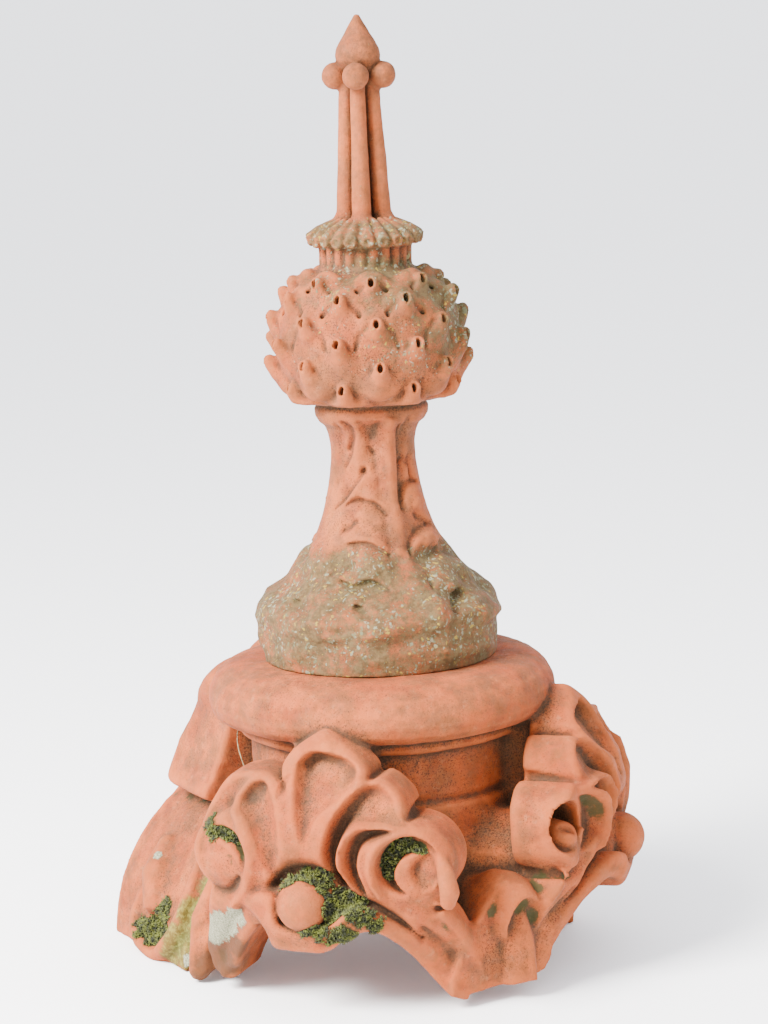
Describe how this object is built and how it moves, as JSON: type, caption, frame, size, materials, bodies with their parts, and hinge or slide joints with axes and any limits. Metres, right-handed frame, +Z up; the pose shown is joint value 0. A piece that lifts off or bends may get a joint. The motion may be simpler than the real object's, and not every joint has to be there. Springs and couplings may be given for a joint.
{
  "type": "roof finial",
  "caption": "Terracotta finial for a hip and ridge junction: hollow carved saddle base, torus, leafed bell, scaled ball and a stemmed spire",
  "frame": {"origin": "on the ground, at the middle of the finial's bounding box, close under its upright axis", "axes": "+Z up along the finial's axis; the hip end faces -Y, and the ridge runs towards +Y"},
  "size_m": [0.4772, 0.4886, 0.9],
  "materials": {
    "base_clay": "unglazed orange terracotta with moss and dirt in the hollows",
    "spire_clay": "unglazed terracotta, weathered, with grey and yellow lichen"
  },
  "bodies": {
    "root": {"ridge_base": "base_clay", "finial_spire": "spire_clay"}
  },
  "joints": []
}
